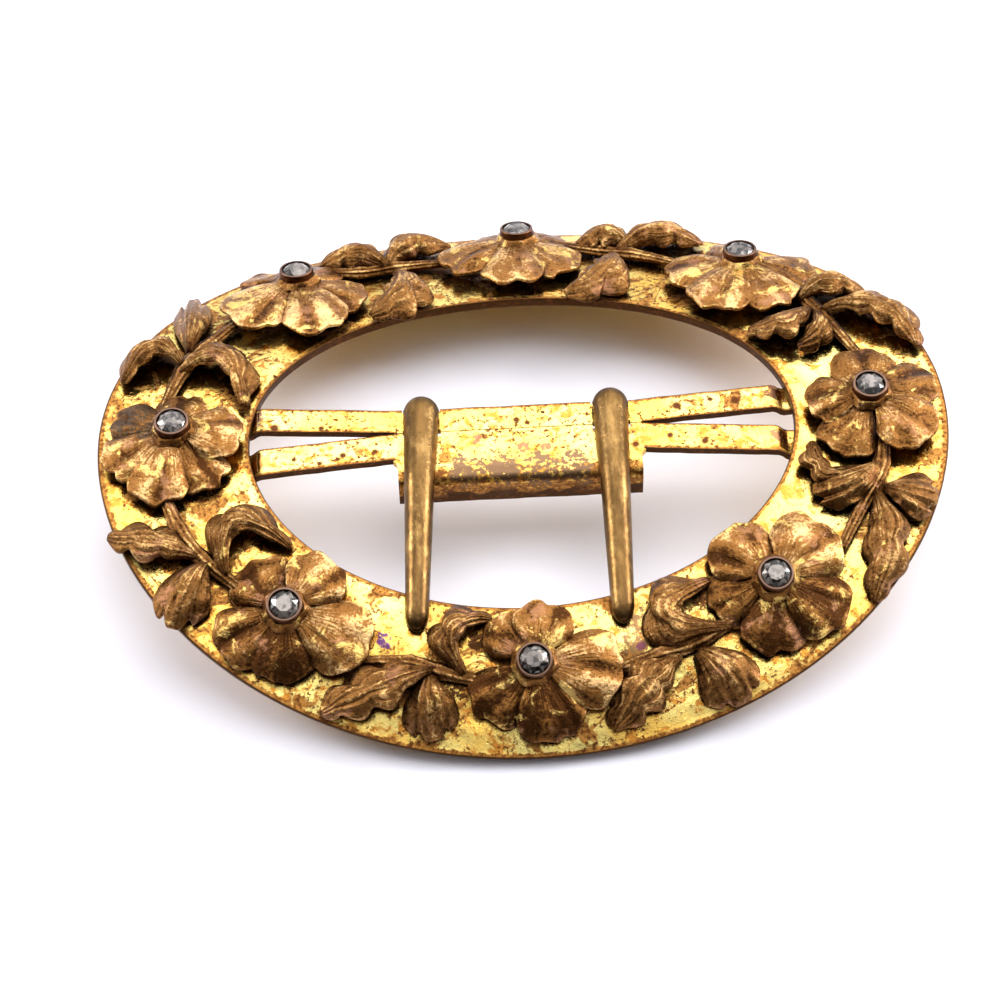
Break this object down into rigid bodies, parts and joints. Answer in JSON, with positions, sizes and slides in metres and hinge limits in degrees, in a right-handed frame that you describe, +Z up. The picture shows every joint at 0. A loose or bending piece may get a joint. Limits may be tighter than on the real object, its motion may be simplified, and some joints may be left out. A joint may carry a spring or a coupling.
{
  "type": "sash buckle",
  "caption": "Oval bent-plate sash buckle with a slotted cross bar, two hinged tongues and a riveted wreath of stone-set flowers and leaf sprays.",
  "frame": {"origin": "on the surface that the buckle rests on, under the middle of the oval plate", "axes": "+X along the oval's long axis, +Y across it away from the tongues' tips, +Z up out of the decorated face"},
  "size_m": [0.08, 0.0632, 0.013],
  "materials": {
    "gilt_plate": "worn bright gilding with brown pits and stains",
    "tongue_brass": "satin olive-brown brass, brighter on its flanks",
    "flower_brass": "matt worn gilding over red-brown brass",
    "leaf_brass": "matt worn gilding over red-brown brass",
    "collet_brass": "dark worn brass with a bright rim",
    "clear_stone": "faceted clear stone, a little cloudy"
  },
  "bodies": {
    "frame": {"frame": "gilt_plate", "flower_1": "flower_brass", "flower_2": "flower_brass", "flower_3": "flower_brass", "flower_4": "flower_brass", "flower_5": "flower_brass", "flower_6": "flower_brass", "flower_7": "flower_brass", "flower_8": "flower_brass", "collet_1": "collet_brass", "collet_2": "collet_brass", "collet_3": "collet_brass", "collet_4": "collet_brass", "collet_5": "collet_brass", "collet_6": "collet_brass", "collet_7": "collet_brass", "collet_8": "collet_brass", "stone_1": "clear_stone", "stone_2": "clear_stone", "stone_3": "clear_stone", "stone_4": "clear_stone", "stone_5": "clear_stone", "stone_6": "clear_stone", "stone_7": "clear_stone", "stone_8": "clear_stone", "leaf_spray_1": "leaf_brass", "leaf_spray_2": "leaf_brass", "leaf_spray_3": "leaf_brass", "leaf_spray_4": "leaf_brass", "leaf_spray_5": "leaf_brass", "leaf_spray_6": "leaf_brass", "leaf_spray_7": "leaf_brass", "leaf_spray_8": "leaf_brass"},
    "left_tongue": {"left_tongue": "tongue_brass"},
    "right_tongue": {"right_tongue": "tongue_brass"}
  },
  "joints": [
    {"name": "left_tongue_hinge", "type": "hinge", "parent": "frame", "child": "left_tongue", "pos_m": [-0.00952, 0.00146, 0.00879], "axis": [-0.9998, 0.0209, 0], "range_deg": [0, 150]},
    {"name": "right_tongue_hinge", "type": "hinge", "parent": "frame", "child": "right_tongue", "pos_m": [0.00832, 0.00109, 0.00879], "axis": [-0.9998, 0.0209, 0], "range_deg": [0, 150]}
  ]
}
